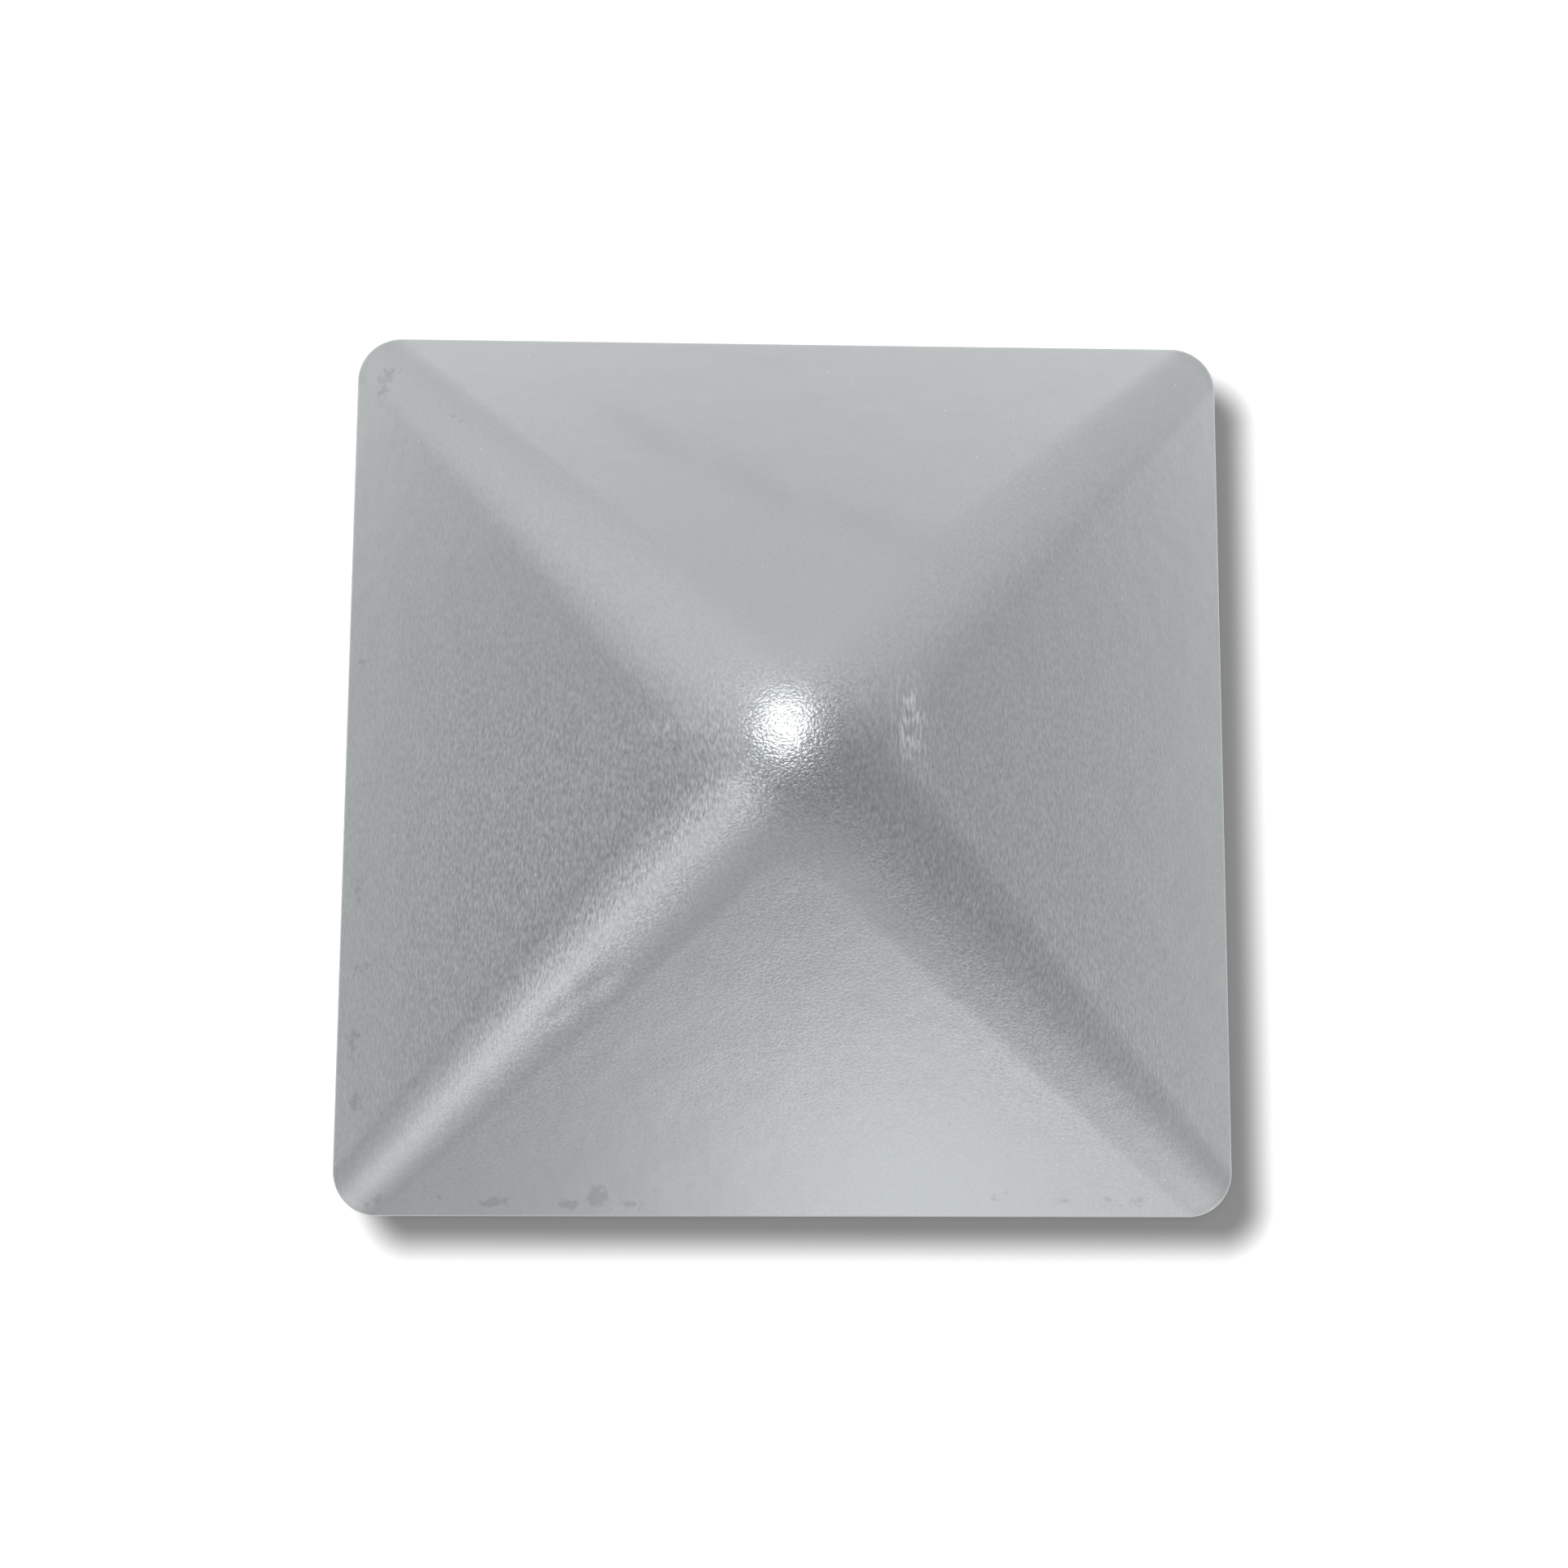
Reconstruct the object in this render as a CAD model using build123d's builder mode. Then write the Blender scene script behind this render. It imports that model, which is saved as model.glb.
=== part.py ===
from build123d import *
import math
import os

# Pressed steel pyramid cap for the open end of a square post. It is one piece of sheet: four flat faces
# that rise from the rim, run together in ridges that narrow towards the corners, and close in a dome.
# It is hollow underneath, with no turned-down lip, and it is welded on round its rim.
# The cap stands on the rim. The origin is in the middle of the rim's plane, and +Z points up.

# Driving sizes, in millimetres
cap_width = 100.0        # across the flats, the outside size of the post that it closes
cap_height = 22.0        # from the rim to the top of the crown
sheet = 2.0              # thickness of the pressed sheet
rim_edge = 1.3           # height of the trimmed edge under each face
corner_radius = 5.0      # the four corners, seen from above
crown_radius = 12.8      # what the corner radius of the outline would grow to in the middle
dome_reach = 12.5        # from the middle to where the dome runs out into the flat faces
shoulder_reach = 18.0    # from the middle to where the ridges begin to open into the dome
crown_flat = 3.0         # width of the level spot on top

# How the form is drawn: reach is the distance of an outline's sides from the middle
dome_outline_count = 6   # outlines that the dome is lofted through
turn_sharpness = 6       # how suddenly the square outline turns round as it nears the crown
roundest = 0.98          # largest share of the reach that an outline's corners may take

half_width = cap_width / 2
crown_reach = crown_flat / 2


def dome_drop(reach):
    """Drop from the middle at this reach, for faces with a slope of one: a parabola, then a straight line."""
    if reach < dome_reach:
        return reach**2 / (2 * dome_reach)
    return reach - dome_reach / 2


face_slope = (cap_height - rim_edge) / (dome_drop(half_width) - dome_drop(crown_reach))


def skin_height(reach):
    """Height of the outer skin at this distance from the middle, square to a side of the cap."""
    return cap_height - face_slope * (dome_drop(reach) - dome_drop(crown_reach))


def skin_angle(reach):
    """Tilt of the skin at this reach, in radians."""
    return math.atan(face_slope * min(reach / dome_reach, 1))


def ridge_radius(reach):
    """Corner radius of the outline at this reach: it grows evenly inwards, until the outline is round."""
    grown = crown_radius + (corner_radius - crown_radius) * reach / half_width
    return (grown**-turn_sharpness + (roundest * reach) ** -turn_sharpness) ** (-1 / turn_sharpness)


def outline(reach, depth):
    """Rounded square on which the skin this deep in the sheet, square to its faces, lies level."""
    inset = depth * math.sin(skin_angle(reach))
    level = skin_height(reach) - depth * math.cos(skin_angle(reach))
    with BuildSketch(Plane.XY.offset(level)) as square:
        RectangleRounded(2 * (reach - inset), 2 * (reach - inset), ridge_radius(reach) - inset)
    return square.sketch


# The faces start at the rim, and the hollow's faces where they reach the rim's plane
foot_reach = half_width + (rim_edge - sheet * math.cos(skin_angle(half_width))) / face_slope
middle_reach = (half_width + shoulder_reach) / 2
dome_step = (shoulder_reach - crown_reach) / (dome_outline_count - 1)
dome_reaches = [shoulder_reach - step * dome_step for step in range(dome_outline_count)]

with BuildPart() as pyramid_cap:
    # The trimmed edge stands upright
    extrude(outline(half_width, 0), amount=-rim_edge)
    # Outer skin: flat faces and conical ridges up to the shoulder, and the dome above it
    loft([outline(reach, 0) for reach in (half_width, middle_reach, shoulder_reach)], ruled=True)
    loft([outline(reach, 0) for reach in dome_reaches])
    # The hollow has the same form, one sheet deeper, and leaves a narrow flat land under the rim
    hollow_outlines = [outline(reach, sheet) for reach in (foot_reach, middle_reach, shoulder_reach)]
    loft(hollow_outlines, ruled=True, mode=Mode.SUBTRACT)
    loft([outline(reach, sheet) for reach in dome_reaches], mode=Mode.SUBTRACT)

pyramid_cap.part.label = "pyramid_cap"

os.makedirs("parts", exist_ok=True)
export_step(pyramid_cap.part, "parts/pyramid_cap.step")
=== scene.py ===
"""A pyramid cap for a square post, pressed from steel sheet, on white paper and seen from almost straight above."""
import bpy
import math
import numpy as np
from mathutils import Matrix, Vector


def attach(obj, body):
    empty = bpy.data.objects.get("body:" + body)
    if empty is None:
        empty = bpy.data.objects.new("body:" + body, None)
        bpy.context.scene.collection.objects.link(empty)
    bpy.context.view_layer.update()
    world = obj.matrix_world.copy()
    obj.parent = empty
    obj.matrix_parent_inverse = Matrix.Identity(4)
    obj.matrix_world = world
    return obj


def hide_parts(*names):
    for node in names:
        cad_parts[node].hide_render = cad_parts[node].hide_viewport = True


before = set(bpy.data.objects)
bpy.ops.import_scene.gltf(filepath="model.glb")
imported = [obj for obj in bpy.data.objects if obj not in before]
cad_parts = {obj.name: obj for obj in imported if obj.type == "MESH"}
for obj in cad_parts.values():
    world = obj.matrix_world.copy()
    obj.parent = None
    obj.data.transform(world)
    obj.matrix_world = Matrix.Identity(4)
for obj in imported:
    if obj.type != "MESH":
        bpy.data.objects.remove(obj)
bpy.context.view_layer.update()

# Sizes in millimetres, the same as the solid's
CAP_WIDTH = 100.0
CAP_HEIGHT = 22.0
SHEET = 2.0
RIM_EDGE = 1.3
CORNER_RADIUS = 5.0
CROWN_RADIUS = 12.8
DOME_REACH = 12.5
TURN_SHARPNESS = 6.0
ROUNDEST = 0.98
HALF = CAP_WIDTH / 2

# What the press and the trimming leave on top of the plain form, in millimetres
FACE_BULGE = 0.35      # how far the faces stand out from flat, halfway up
EASED_EDGE = 0.3       # radius along the top of the trimmed edge
BROKEN_EDGE = 0.12     # radius along its foot

# How finely the skin is drawn
COLUMNS = 640            # all round
CORNER_CROWDING = 0.15   # how far the columns draw together at the ridges, in radians
SKIN_STATIONS = 86       # from the crown to the eased edge
HOLLOW_STATIONS = 34     # from the land under the rim to the middle of the hollow
EASED_STATIONS = 8       # over the eased edge
BROKEN_STATIONS = 5      # round the broken edge
LAND_STATIONS = 3        # across the land
SKIN_CROWDING = 1.04     # above one, the stations draw together towards the middle
HOLLOW_CROWDING = 1.15
CLEAR_OF_EDGE = 0.4      # how far the land's first station lies inside the cut edge, in millimetres
CLEAR_OF_HOLLOW = 0.15   # how far its last one lies outside the hollow


def srgb(code):
    """A hex colour such as "8a9a7a" as linear red, green, blue and one."""
    parts = [int(code[i:i + 2], 16) / 255 for i in (0, 2, 4)]
    return [p / 12.92 if p <= 0.04045 else ((p + 0.055) / 1.055) ** 2.4 for p in parts] + [1.0]


# The pressed skin


def dome_drop(reach):
    """Drop from the middle for faces with a slope of one: a parabola to the dome's reach, then a straight line."""
    return np.where(reach < DOME_REACH, reach ** 2 / (2 * DOME_REACH), reach - DOME_REACH / 2)


def skin_height(reach):
    """Height of the outer skin: the fall from crown to rim, plus a parabola from rim to crown that bulges the faces.

    The bulge fades in over the first quarter of the way out, so that the crown keeps its height.
    """
    share = reach / HALF
    fall = (CAP_HEIGHT - RIM_EDGE) * dome_drop(reach) / dome_drop(HALF)
    return CAP_HEIGHT - fall + FACE_BULGE * 4 * share * (1 - share) * np.minimum(share * 4, 1)


def skin_angle(reach):
    """Tilt of the skin in radians, from the heights a hundredth of a millimetre to each side."""
    nearer, farther = np.maximum(reach - 0.01, 0), reach + 0.01
    return np.arctan((skin_height(nearer) - skin_height(farther)) / (farther - nearer))


def ridge_radius(reach):
    """Corner radius of the outline: it grows evenly inwards, but a power mean keeps it under the reach."""
    grown = CROWN_RADIUS + (CORNER_RADIUS - CROWN_RADIUS) * reach / HALF
    round_one = ROUNDEST * np.maximum(reach, 1e-6)
    return (grown ** -TURN_SHARPNESS + round_one ** -TURN_SHARPNESS) ** (-1 / TURN_SHARPNESS)


def outline_radius(reach, corner, angle):
    """Distance from the middle to a rounded square in the direction of the angle.

    It is the distance to the straight side, or, past the side's end, to the arc of the corner.
    """
    big = np.maximum(np.abs(np.cos(angle)), np.abs(np.sin(angle)))
    small = np.minimum(np.abs(np.cos(angle)), np.abs(np.sin(angle)))
    side = reach - corner
    straight = reach / big
    middle = side * (big + small)
    arc = middle + np.sqrt(np.maximum(middle ** 2 - 2 * side ** 2 + corner ** 2, 0))
    return np.where(straight * small <= side, straight, arc)


def cap_profile():
    """Stations from the crown over the rim and back to the middle of the hollow, as reach, corner radius and height.

    The outer skin follows skin_height. The upright edge has an arc along its top and another at its foot.
    The land under the rim is level. The inner skin lies one sheet deeper, square to the outer one.
    """
    arc_middle = HALF - EASED_EDGE
    tilt = float(skin_angle(np.array(arc_middle)))
    outer = arc_middle * np.linspace(0, 1, SKIN_STATIONS)[1:] ** SKIN_CROWDING
    outer_skin = np.stack([outer, ridge_radius(outer), skin_height(outer)])

    def edge(reach, level):
        """Stations by the cut edge, where the corner radius falls by half of what the reach falls."""
        return np.stack([reach, CORNER_RADIUS - (HALF - reach) * 0.5, level])

    turn = np.linspace(tilt, math.pi / 2, EASED_STATIONS)
    arc_level = float(skin_height(arc_middle)) - EASED_EDGE / math.cos(tilt)
    eased = edge(arc_middle + EASED_EDGE * np.sin(turn), arc_level + EASED_EDGE * np.cos(turn))
    turn = np.linspace(0, math.pi / 2, BROKEN_STATIONS)
    foot = edge(HALF - BROKEN_EDGE + BROKEN_EDGE * np.cos(turn), BROKEN_EDGE - BROKEN_EDGE * np.sin(turn))

    # The hollow starts where the inner skin comes down to the rim's plane
    below = np.linspace(HALF + 2 * SHEET, 0, 600)
    inner_start = float(np.interp(0, skin_height(below) - SHEET * np.cos(skin_angle(below)), below))
    inner = inner_start * np.linspace(1, 0, HOLLOW_STATIONS)[:-1] ** HOLLOW_CROWDING
    angle = skin_angle(inner)
    inset = SHEET * np.sin(angle)
    inner_skin = np.stack([inner - inset, ridge_radius(inner) - inset, skin_height(inner) - SHEET * np.cos(angle)])
    land_end = float(inner_skin[0, 0]) + CLEAR_OF_HOLLOW
    land = edge(np.linspace(HALF - CLEAR_OF_EDGE, land_end, LAND_STATIONS), np.zeros(LAND_STATIONS))
    return np.concatenate([outer_skin, eased, foot, land, inner_skin], axis=1)


# Marks, in millimetres to the right and up from the middle: x, y, length, width, direction in degrees, strength.
# The strength of a dent is its depth in millimetres.
DENTS = [
    (-20.0, -24.4, 2.2, 1.3, 30, 0.14), (-24.2, -27.4, 1.8, 1.0, 20, 0.08),
]
SMUDGES = [
    (-45.2, -48.2, 1.6, 0.7, 10, 0.7), (-38.1, -48.0, 1.4, 0.7, -20, 0.5), (-31.9, -48.3, 2.0, 0.7, 5, 0.8),
    (-23.9, -48.6, 1.5, 0.8, 0, 0.8), (-20.6, -47.7, 1.2, 1.1, 50, 1.0), (-16.8, -48.6, 2.2, 0.6, 0, 0.6),
    (23.6, -47.6, 1.2, 0.8, 30, 0.6), (29.9, -47.9, 1.8, 0.6, 0, 0.5), (36.2, -48.1, 1.5, 0.6, 0, 0.6),
    (38.9, -48.1, 1.0, 0.7, 0, 0.7), (-46.1, 45.4, 1.2, 1.0, 0, 0.8), (-46.9, 43.4, 1.0, 1.4, 0, 0.7),
    (17.4, -25.7, 1.0, 0.8, 0, 0.5), (-38.4, 39.6, 4.0, 0.6, -45, 0.3), (-47.9, 12.0, 0.9, 2.2, 0, 0.45),
    (-47.6, -14.0, 1.0, 1.6, 20, 0.6), (-47.4, -23.0, 1.3, 0.8, 25, 0.7), (-47.9, -30.5, 0.9, 2.4, 0, 0.7),
    (-47.3, -37.5, 1.2, 1.7, 0, 0.6),
]
# Painted shade: soft darker bands across the top face, where the steel looks shaded
PAINTED_SHADE_BANDS = [
    (-16.0, 37.0, 8.0, 2.0, -35, 0.22), (-4.0, 30.5, 8.0, 2.2, -33, 0.22), (9.0, 25.0, 8.0, 2.4, -22, 0.2),
]
SCUFFS = [
    (12.2, 2.8, 1.6, 4.0, 0, 1.0), (-13.1, 2.2, 2.2, 1.0, 0, 0.5),
]

# How far the sheet was drawn: by distance from the middle in millimetres, and by direction in degrees from the right
DRAWN_ALONG = [(0, 0.7), (7, 0.8), (12, 1.0), (28, 0.85), (38, 0.6), (45, 0.35), (50, 0.25)]
DRAWN_ROUND = [
    (0, 0.4), (30, 0.25), (45, 0.3), (60, 0.1), (120, 0.1), (135, 0.22), (150, 0.28), (180, 0.65),
    (210, 0.72), (225, 0.65), (242, 0.25), (270, 0.34), (298, 0.25), (315, 0.7), (330, 0.45), (360, 0.4),
]


def drawn_share(x, y):
    """How far the sheet was drawn, from 0 to 1, which sets how deep the orange peel is.

    It is the share by distance times the share by direction, which fades in between 4 and 10 mm from the middle.
    """
    reach = np.maximum(np.abs(x), np.abs(y))
    along = np.interp(reach, *zip(*DRAWN_ALONG))
    round_about = np.interp(np.degrees(np.arctan2(y, x)) % 360, *zip(*DRAWN_ROUND))
    return along * (1 + np.clip((reach - 4) / 6, 0, 1) * (round_about - 1))


def spots(x, y, places):
    """Soft patches, each a bell shape with a place, length, width, direction and strength. The strongest counts."""
    value = np.zeros_like(x)
    for at_x, at_y, length, width, turn, strength in places:
        c, s = math.cos(math.radians(turn)), math.sin(math.radians(turn))
        along, across = (x - at_x) * c + (y - at_y) * s, (y - at_y) * c - (x - at_x) * s
        value = np.maximum(value, strength * np.exp(-(along / length) ** 2 - (across / width) ** 2))
    return value


def grid_mesh(name, rings, first, last=None):
    """A skin from rings of points, one row each, that starts in one point and may end in another.

    Faces point outwards when the rings run anticlockwise and the first point is on top.
    """
    rows, columns = rings.shape[:2]
    points = np.concatenate([rings.reshape(-1, 3), [first] if last is None else [first, last]])
    row, column = np.meshgrid(np.arange(rows - 1), np.arange(columns), indexing="ij")
    after = (column + 1) % columns
    near, far = row * columns, (row + 1) * columns
    quads = np.stack([near + column, far + column, far + after, near + after], -1).reshape(-1, 4)
    column = np.arange(columns)
    after = (column + 1) % columns
    fans = [np.stack([np.full(columns, rows * columns), column, after], -1)]
    if last is not None:
        base = (rows - 1) * columns
        fans.append(np.stack([np.full(columns, rows * columns + 1), base + after, base + column], -1))
    corners = np.concatenate([quads.ravel()] + [fan.ravel() for fan in fans])
    sizes = np.concatenate([np.full(len(quads), 4), np.full(len(fans) * columns, 3)])
    starts = np.concatenate([[0], np.cumsum(sizes)[:-1]])
    mesh = bpy.data.meshes.new(name)
    mesh.vertices.add(len(points))
    mesh.vertices.foreach_set("co", points.ravel())
    mesh.loops.add(len(corners))
    mesh.loops.foreach_set("vertex_index", corners)
    mesh.polygons.add(len(sizes))
    mesh.polygons.foreach_set("loop_start", starts)
    mesh.polygons.foreach_set("use_smooth", np.ones(len(sizes), bool))
    mesh.update(calc_edges=True)
    mesh.validate()
    piece = bpy.data.objects.new(name, mesh)
    bpy.context.scene.collection.objects.link(piece)
    return piece, points


def pressed_cap():
    """The whole cap as one closed skin, with the values that its finish reads kept at each point.

    Each station of the profile is carried round its rounded square, with columns crowded towards the ridges.
    """
    turn = 2 * math.pi * np.arange(COLUMNS) / COLUMNS
    angle = turn + CORNER_CROWDING * np.sin(4 * turn)
    reach, corner, level = (part[:, None] for part in cap_profile())
    radius = outline_radius(reach, corner, angle[None, :])
    x, y = radius * np.cos(angle), radius * np.sin(angle)

    # The dents fade out between 4 and 1 mm from the rim, so that the cut edge stays straight
    clear_of_rim = np.clip((HALF - 1 - reach) / 3, 0, 1) * (level > RIM_EDGE)
    z = level - spots(x, y, DENTS) * clear_of_rim
    top, hollow_top = (0, 0, CAP_HEIGHT / 1000), (0, 0, (CAP_HEIGHT - SHEET) / 1000)
    piece, points = grid_mesh("pressed_cap", np.stack([x, y, z], -1) / 1000, top, hollow_top)

    # The crown's rubbed spot fades out between 4 and 9 mm from the middle. The way that the grain runs turns within
    # ridge_width at each ridge. Dirt, scuffs and the painted shade bands are on the outer skin only.
    x, y = points[:, 0] * 1000, points[:, 1] * 1000
    crown = np.clip((9 - np.hypot(x, y)) / 5, 0, 1)
    ridge_width = 0.2 * np.maximum(np.abs(x), np.abs(y)) + 2
    outside = np.arange(len(points)) < (SKIN_STATIONS - 1) * COLUMNS
    for name, values in [
        ("face_turn", np.clip((np.abs(y) - np.abs(x)) / ridge_width + 0.5 + 2 * crown, 0, 1)),
        ("drawn", drawn_share(x, y)),
        ("smudge_and_painted_shade", spots(x, y, SMUDGES) * outside),
        ("painted_shade_band", spots(x, y, PAINTED_SHADE_BANDS) * outside),
        ("scuff", spots(x, y, SCUFFS) * outside),
        ("burnish", crown),
    ]:
        piece.data.attributes.new(name, "FLOAT", "POINT").data.foreach_set("value", values.astype(np.float32))
    return piece


# Finishes


def material(name):
    """A new material with its node tree and its shader."""
    made = bpy.data.materials.new(name)
    made.use_nodes = True
    return made, made.node_tree, made.node_tree.nodes["Principled BSDF"]


def add(tree, kind, values=None, links=None, **settings):
    """One node: its settings, then values by socket name or number, then links from other sockets."""
    node = tree.nodes.new(kind)
    for key, value in settings.items():
        setattr(node, key, value)
    for key, value in (values or {}).items():
        node.inputs[key].default_value = value
    for key, socket in (links or {}).items():
        tree.links.new(socket, node.inputs[key])
    return node


def pressed_steel():
    """Cold-rolled steel sheet, bare and as pressed: a cool grey metal with a satin sheen.

    Where the press drew it, its grains stand up as a fine orange peel that breaks each highlight into specks of light.
    """
    made, tree, shader = material("pressed_cold_rolled_steel")
    place = add(tree, "ShaderNodeTexCoord").outputs["Object"]
    face_turn, drawn, smudge_and_painted_shade, painted_shade_band, scuff, burnish = [
        add(tree, "ShaderNodeAttribute", attribute_name=name).outputs["Fac"]
        for name in ("face_turn", "drawn", "smudge_and_painted_shade", "painted_shade_band", "scuff", "burnish")
    ]

    # Orange peel: grains 0.26 mm across and at most 0.06 mm high, drawn out along the rim on the left and right faces
    grain = {"Scale": 1000 / 0.26, "Detail": 1.5, "Roughness": 0.45}
    peel = []
    for squeezed in ((1.0, 0.4, 0.7), (0.8, 1.0, 1.0)):
        along = add(tree, "ShaderNodeMapping", {"Scale": squeezed}, {"Vector": place}).outputs["Vector"]
        peel.append(add(tree, "ShaderNodeTexNoise", grain, {"Vector": along}).outputs["Fac"])
    peel = add(tree, "ShaderNodeMix", {}, {"Factor": face_turn, "A": peel[0], "B": peel[1]}).outputs["Result"]
    height = add(tree, "ShaderNodeMath", {}, {0: peel, 1: drawn}, operation="MULTIPLY").outputs[0]
    relief = add(tree, "ShaderNodeBump", {"Strength": 1.0, "Distance": 0.00006}, {"Height": height})

    # Gentle waves 5 mm long and at most 0.05 mm high, where the sheet slid over the die
    waves = add(tree, "ShaderNodeTexNoise", {"Scale": 1000 / 5.0, "Detail": 2.0}, {"Vector": place}).outputs["Fac"]
    links = {"Height": waves, "Normal": relief.outputs["Normal"]}
    relief = add(tree, "ShaderNodeBump", {"Strength": 1.0, "Distance": 0.00005}, links)
    tree.links.new(relief.outputs["Normal"], shader.inputs["Normal"])

    # The grains' tops are burnished and their hollows stay dull, by up to 0.48 of the grey where the sheet was drawn most
    spread = {"From Min": 0.2, "From Max": 0.8, "To Min": -0.48, "To Max": 0.48}
    tone = add(tree, "ShaderNodeMapRange", spread, {"Value": peel}, clamp=False).outputs["Result"]
    tone = add(tree, "ShaderNodeMath", {}, {0: tone, 1: drawn}, operation="MULTIPLY").outputs[0]
    tone = add(tree, "ShaderNodeMath", {1: 1.0}, {0: tone}, operation="ADD").outputs[0]

    # Scuffs: bright hairs 0.3 mm wide and 1.5 mm long, rubbed level across the slope
    along = add(tree, "ShaderNodeMapping", {"Scale": (1.0, 0.2, 0.2)}, {"Vector": place}).outputs["Vector"]
    hairs = add(tree, "ShaderNodeTexNoise", {"Scale": 1000 / 0.3, "Detail": 1.0}, {"Vector": along}).outputs["Fac"]
    spread = {"From Min": 0.46, "From Max": 0.62, "To Max": 0.8}
    hairs = add(tree, "ShaderNodeMapRange", spread, {"Value": hairs}).outputs["Result"]
    hairs = add(tree, "ShaderNodeMath", {}, {0: hairs, 1: scuff}, operation="MULTIPLY").outputs[0]
    tone = add(tree, "ShaderNodeMath", {}, {0: tone, 1: hairs}, operation="ADD").outputs[0]

    # Painted glints: a net of cells 1.5 mm wide, with a bright painted speck of light up to 0.15 mm across in every
    # fifth one
    net = add(tree, "ShaderNodeTexVoronoi", {"Scale": 1000 / 1.5}, {"Vector": place}).outputs
    painted_glint = add(tree, "ShaderNodeMath", {1: 0.05}, {0: net["Distance"]}, operation="LESS_THAN").outputs[0]
    lot = add(tree, "ShaderNodeSeparateXYZ", {}, {"Vector": net["Color"]}).outputs["X"]
    chosen = add(tree, "ShaderNodeMath", {1: 0.8}, {0: lot}, operation="GREATER_THAN").outputs[0]
    painted_glint = add(tree, "ShaderNodeMath", {}, {0: painted_glint, 1: chosen}, operation="MULTIPLY").outputs[0]
    tone = add(tree, "ShaderNodeMath", {1: 0.5}, {0: painted_glint, 2: tone}, operation="MULTIPLY_ADD").outputs[0]

    # Oily smudges are a shade darker, with edges broken up by grains 1 mm across, and painted shade bands darken the
    # steel faintly
    grain = {"Scale": 1000 / 1.0, "Detail": 3.0, "Roughness": 0.6}
    broken = add(tree, "ShaderNodeTexNoise", grain, {"Vector": place}).outputs["Fac"]
    broken = add(tree, "ShaderNodeMath", {1: 0.5}, {0: broken}, operation="SUBTRACT").outputs[0]
    smudge_and_painted_shade = add(tree, "ShaderNodeMath", {1: 1.6}, {0: broken, 2: smudge_and_painted_shade}, operation="MULTIPLY_ADD").outputs[0]
    edges = {"From Min": 0.32, "From Max": 0.62}
    smudge_and_painted_shade = add(tree, "ShaderNodeMapRange", edges, {"Value": smudge_and_painted_shade}, interpolation_type="SMOOTHSTEP")
    # Six tenths of the smudges, plus the painted shade bands at full strength
    links = {0: smudge_and_painted_shade.outputs["Result"], 2: painted_shade_band}
    smudge_and_painted_shade = add(tree, "ShaderNodeMath", {1: 0.6}, links, operation="MULTIPLY_ADD").outputs[0]

    # The darker grey stands for the smudges and for the painted shade bands
    greys = {"A": srgb("c4c8c9"), "B": srgb("aaaeaf")}
    grey = add(tree, "ShaderNodeMix", greys, {"Factor": smudge_and_painted_shade}, data_type="RGBA").outputs["Result"]
    grey = add(tree, "ShaderNodeVectorMath", {}, {0: grey, "Scale": tone}, operation="SCALE").outputs[0]
    tree.links.new(grey, shader.inputs["Base Color"])
    shader.inputs["Metallic"].default_value = 1.0

    # Satin all over, and rubbed a little smoother on the crown
    satin = add(tree, "ShaderNodeMapRange", {"To Min": 0.32, "To Max": 0.25}, {"Value": burnish}).outputs["Result"]
    tree.links.new(satin, shader.inputs["Roughness"])
    return made


cap = pressed_cap()
cap.data.materials.append(pressed_steel())
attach(cap, "root")
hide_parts("pyramid_cap")

# The ground

PAPER_LEVEL = -0.00002   # a hair under the rim, so that the two never share a plane
SWEEP_START = 1.2        # where the paper begins to curve up, in metres from the middle
SWEEP_END = 2.6
PAPER_WHITE = 0.88       # share of the light that the paper gives back
PAPER_GLOW = 0.6         # light of its own that it shows to the camera and in the steel, where 1 is white
SHADE_FALL = 0.0038      # how far the soft shade falls, to the right and down, in metres


def paper_sweep():
    """A sheet of white paper that lies level under the cap and curves up into a low wall far behind it, all round.

    Its height is 0.4 times the square of how far a point is past the level part, in metres.
    """
    turn = 2 * math.pi * np.arange(96) / 96
    radius = np.concatenate([[0.05, 0.2, 0.6], np.linspace(SWEEP_START, SWEEP_END, 15)])[:, None]
    level = 0.4 * np.maximum(radius - SWEEP_START, 0) ** 2 + PAPER_LEVEL
    rings = np.stack([radius * np.cos(turn), radius * np.sin(turn), level + 0 * turn], -1)
    return grid_mesh("paper_sweep", rings, (0, 0, PAPER_LEVEL))[0]


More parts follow.
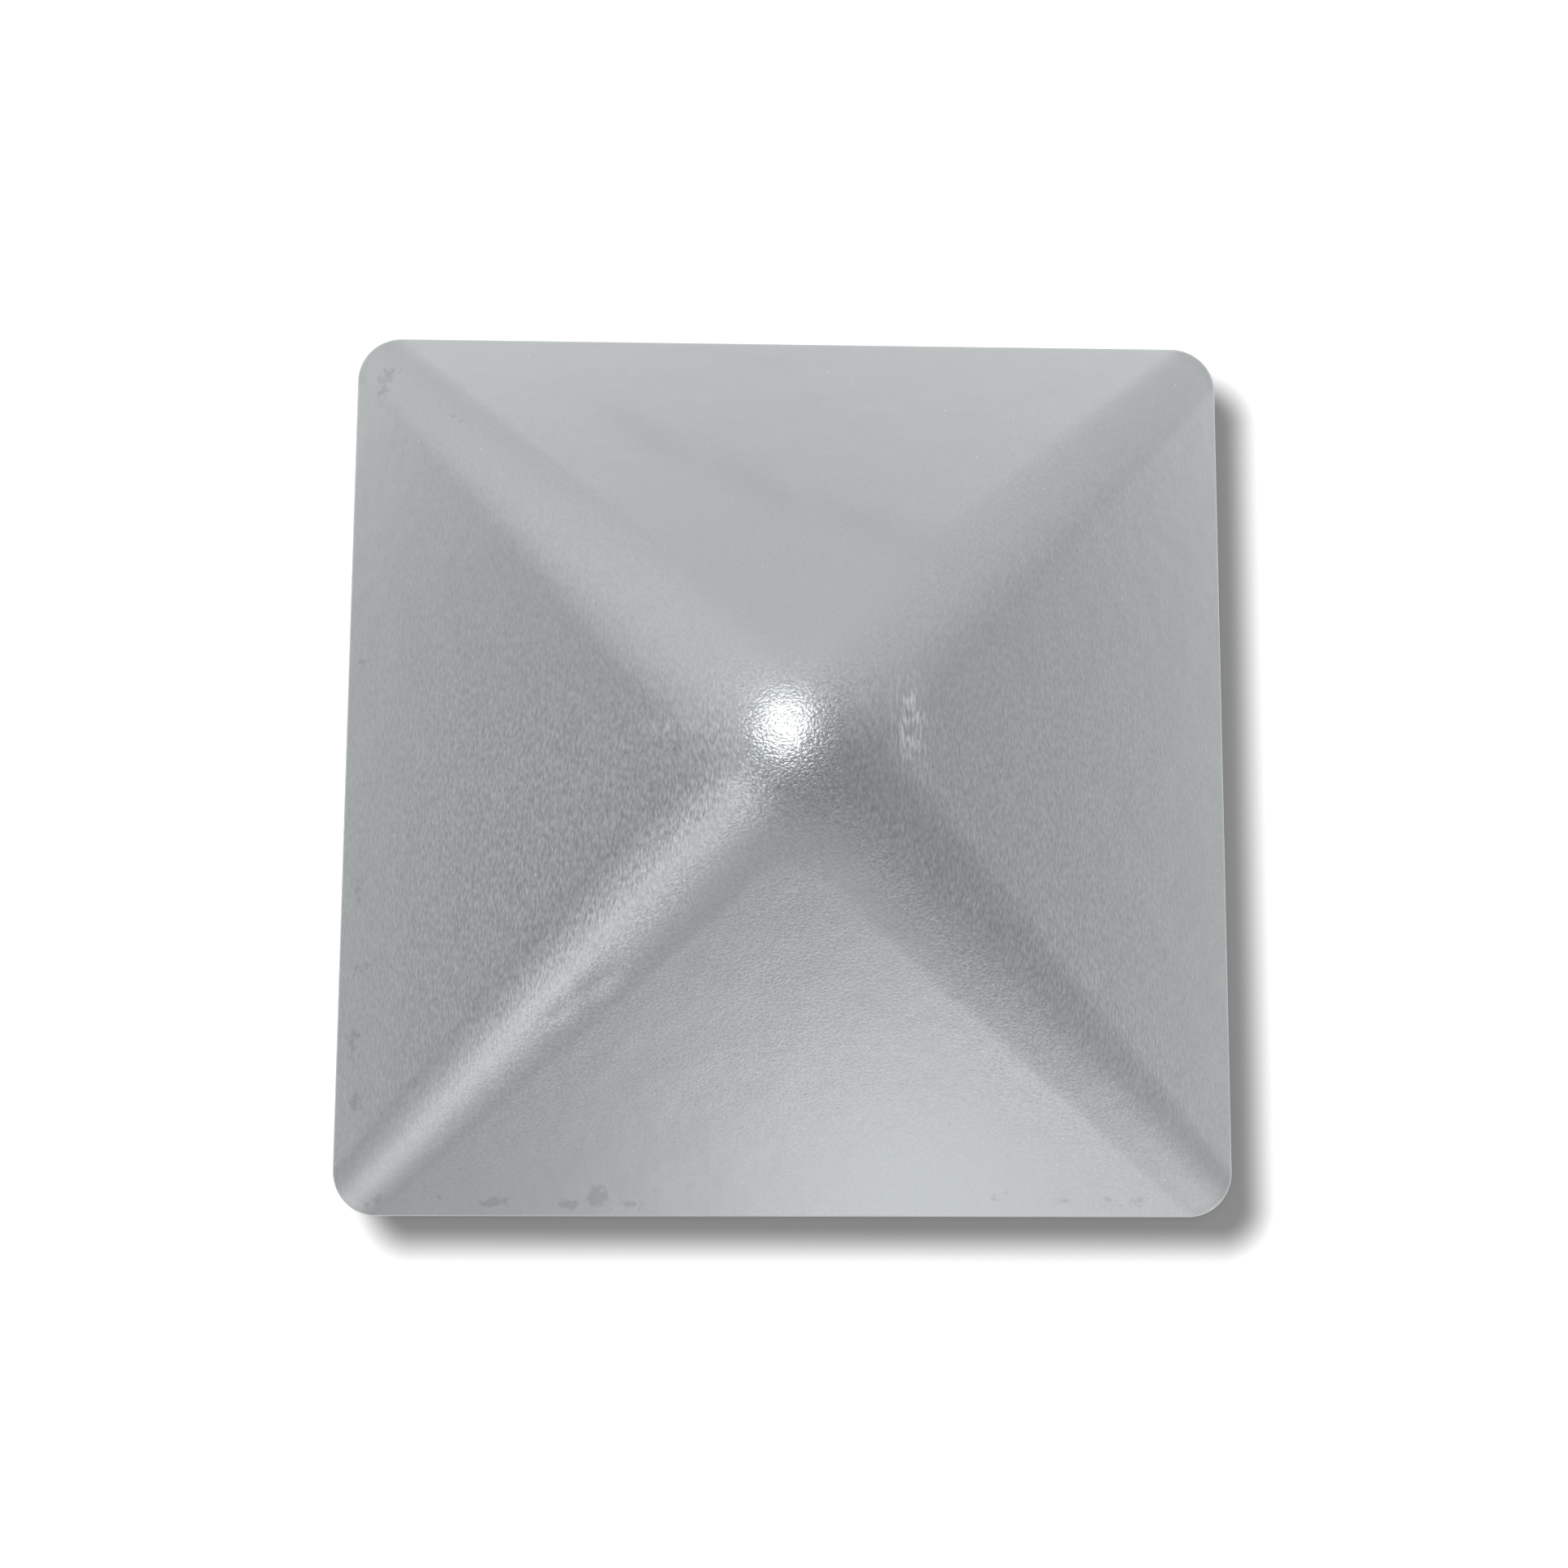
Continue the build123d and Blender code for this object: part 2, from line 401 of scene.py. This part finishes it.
def white_paper():
    """Matt white paper, with a soft shadow painted to the lower right of the cap.

    It shows a little light of its own to the camera and in the steel, so that it stays white under plain studio light.
    """
    made, tree, shader = material("matt_white_paper")
    tree.nodes.remove(shader)
    place = add(tree, "ShaderNodeTexCoord").outputs["Object"]

    # The painted shadow follows the distance from a square one corner radius inside the cap's outline, moved by the
    # shadow's fall. It is full up to 2.3 mm from that square, and gone at 8 mm, which is 3 mm outside the moved
    # outline.
    side = (HALF - CORNER_RADIUS) / 1000
    away = add(tree, "ShaderNodeVectorMath", {1: (SHADE_FALL, -SHADE_FALL, 0)}, {0: place}, operation="SUBTRACT")
    away = add(tree, "ShaderNodeVectorMath", {}, {0: away.outputs[0]}, operation="ABSOLUTE")
    away = add(tree, "ShaderNodeVectorMath", {1: (side, side, 1)}, {0: away.outputs[0]}, operation="SUBTRACT")
    away = add(tree, "ShaderNodeVectorMath", {1: (0, 0, 0)}, {0: away.outputs[0]}, operation="MAXIMUM")
    away = add(tree, "ShaderNodeVectorMath", {}, {0: away.outputs[0]}, operation="LENGTH").outputs["Value"]
    fade = {"From Min": 0.0023, "From Max": 0.0080, "To Min": 0.215, "To Max": 1.0}
    painted_shadow = add(tree, "ShaderNodeMapRange", fade, {"Value": away}, interpolation_type="SMOOTHSTEP").outputs["Result"]

    # The painted shadow darkens both the paper's colour and its glow
    white = add(tree, "ShaderNodeMath", {1: PAPER_WHITE}, {0: painted_shadow}, operation="MULTIPLY").outputs[0]
    matt = add(tree, "ShaderNodeBsdfDiffuse", {}, {"Color": white}).outputs[0]
    path = add(tree, "ShaderNodeLightPath").outputs
    links = {0: path["Is Camera Ray"], 1: path["Is Glossy Ray"]}
    seen = add(tree, "ShaderNodeMath", {}, links, operation="MAXIMUM").outputs[0]
    links = {0: seen, 1: path["Is Transmission Ray"]}
    seen = add(tree, "ShaderNodeMath", {}, links, operation="MAXIMUM").outputs[0]
    glow = add(tree, "ShaderNodeMath", {1: PAPER_GLOW}, {0: painted_shadow}, operation="MULTIPLY").outputs[0]
    glow = add(tree, "ShaderNodeMath", {}, {0: glow, 1: seen}, operation="MULTIPLY").outputs[0]
    glow = add(tree, "ShaderNodeEmission", {}, {"Strength": glow}).outputs[0]
    both = add(tree, "ShaderNodeAddShader", {}, {0: matt, 1: glow}).outputs[0]
    tree.links.new(both, tree.nodes["Material Output"].inputs["Surface"])
    return made


ground = paper_sweep()
ground.data.materials.append(white_paper())

# Lamps

LAMP_DISTANCE = 1.0      # metres
ROOM_LEVEL = 0.36        # what the steel sees between the lamps


def soft_lamp(name, azimuth, elevation, size, strength):
    """A round soft lamp that points at the cap, as bright to the eye as its strength, where 1 is white.

    Azimuth 0 is the right of the picture and 90 its top. The size is its width in degrees, as the cap sees it.
    """
    a, e = math.radians(azimuth), math.radians(elevation)
    towards = Vector((math.cos(e) * math.cos(a), math.cos(e) * math.sin(a), math.sin(e)))
    data = bpy.data.lights.new(name, "AREA")
    data.shape = "DISK"
    data.size = 2 * LAMP_DISTANCE * math.tan(math.radians(size / 2))
    data.energy = strength * math.pi ** 2 * data.size ** 2 / 4
    lamp = bpy.data.objects.new(name, data)
    lamp.location = towards * LAMP_DISTANCE
    lamp.rotation_mode = "QUATERNION"
    lamp.rotation_quaternion = towards.to_track_quat("Z", "Y")
    lamp.visible_camera = False
    bpy.context.scene.collection.objects.link(lamp)


# A tent of soft lamps, ring by ring: elevation, width, first azimuth, and one strength for each lamp, anticlockwise
TENT = [
    (10, 30, 0, (0.15, 0.35, 0.25, 0.18, 0.2, 0.5, 0.15, 0.15, 0.1, 0.15, 0.25, 0.3)),
    (28, 26, 15, (0.13, 0.3, 0.32, 0.32, 0.4, 0.11, 0.1, 0.3, 0.05, 0.48, 0.68, 0.15)),
    (46, 24, 0, (0.0, 0.15, 0.32, 0.4, 0.43, 0.32, 0.0, 0.2, 0.2, 0.05, 0.2, 0.0)),
    (62, 20, 18, (0.0, 0.1, 0.1, 0.3, 0.3, 0.2, 0.0, 0.15, 0.0, 0.0)),
]
for elevation, size, first, strengths in TENT:
    for number, strength in enumerate(strengths):
        if strength > 0:
            azimuth = first + 360 * number / len(strengths)
            soft_lamp(f"tent_{elevation}_{number}", azimuth, elevation, size, strength)

# Narrow lamps, each with its azimuth, elevation, width and strength
for name, azimuth, elevation, size, strength in [
    ("crown", 97, 76, 15, 3.9),
    ("crown_tail", 90, 69, 10, 3.5),
    ("ridge_foot", 224, 40, 8, 1.4),
    ("ridge_low", 219, 50, 8, 2.5),
    ("ridge_high", 217, 67, 9, 3.1),
    ("lower_face", 274, 31, 13, 1.0),
]:
    soft_lamp(name, azimuth, elevation, size, strength)

# The room is white to the camera, and a plain grey in the steel
world = bpy.data.worlds.new("room")
world.use_nodes = True
background = world.node_tree.nodes["Background"]
background.inputs["Color"].default_value = (1, 1, 1, 1)
seen = add(world.node_tree, "ShaderNodeLightPath").outputs["Is Camera Ray"]
level = add(world.node_tree, "ShaderNodeMapRange", {"To Min": ROOM_LEVEL, "To Max": 1.0}, {"Value": seen})
world.node_tree.links.new(level.outputs["Result"], background.inputs["Strength"])
bpy.context.scene.world = world

# Camera

# The camera stands two cap widths above the rim, a little towards the lower edge of the picture.
# Its turns are about the picture's own axes, and its place is measured in cap widths.
TILT_X, TILT_Y, ROLL = math.radians(-6.19), math.radians(1.42), math.radians(-0.28)
SHIFT_X, SHIFT_Y, DISTANCE = 0.003, 0.016, 2.005
PICTURE, FOCAL_LENGTH = 1932, 2156   # pixels
turned = Matrix.Rotation(TILT_X, 3, "X") @ Matrix.Rotation(TILT_Y, 3, "Y") @ Matrix.Rotation(ROLL, 3, "Z")
stand = turned.transposed() @ Vector((-SHIFT_X, -SHIFT_Y, DISTANCE)) * CAP_WIDTH / 1000
camera_data = bpy.data.cameras.new("camera")
camera_data.sensor_width = 36
camera_data.lens = camera_data.sensor_width * FOCAL_LENGTH / PICTURE
camera_data.clip_start = 0.01
camera = bpy.data.objects.new("camera", camera_data)
camera.matrix_world = Matrix.Translation(stand) @ turned.transposed().to_4x4()
bpy.context.scene.collection.objects.link(camera)
bpy.context.scene.camera = camera

bpy.context.scene.view_settings.view_transform = "Standard"

bpy.context.view_layer.update()
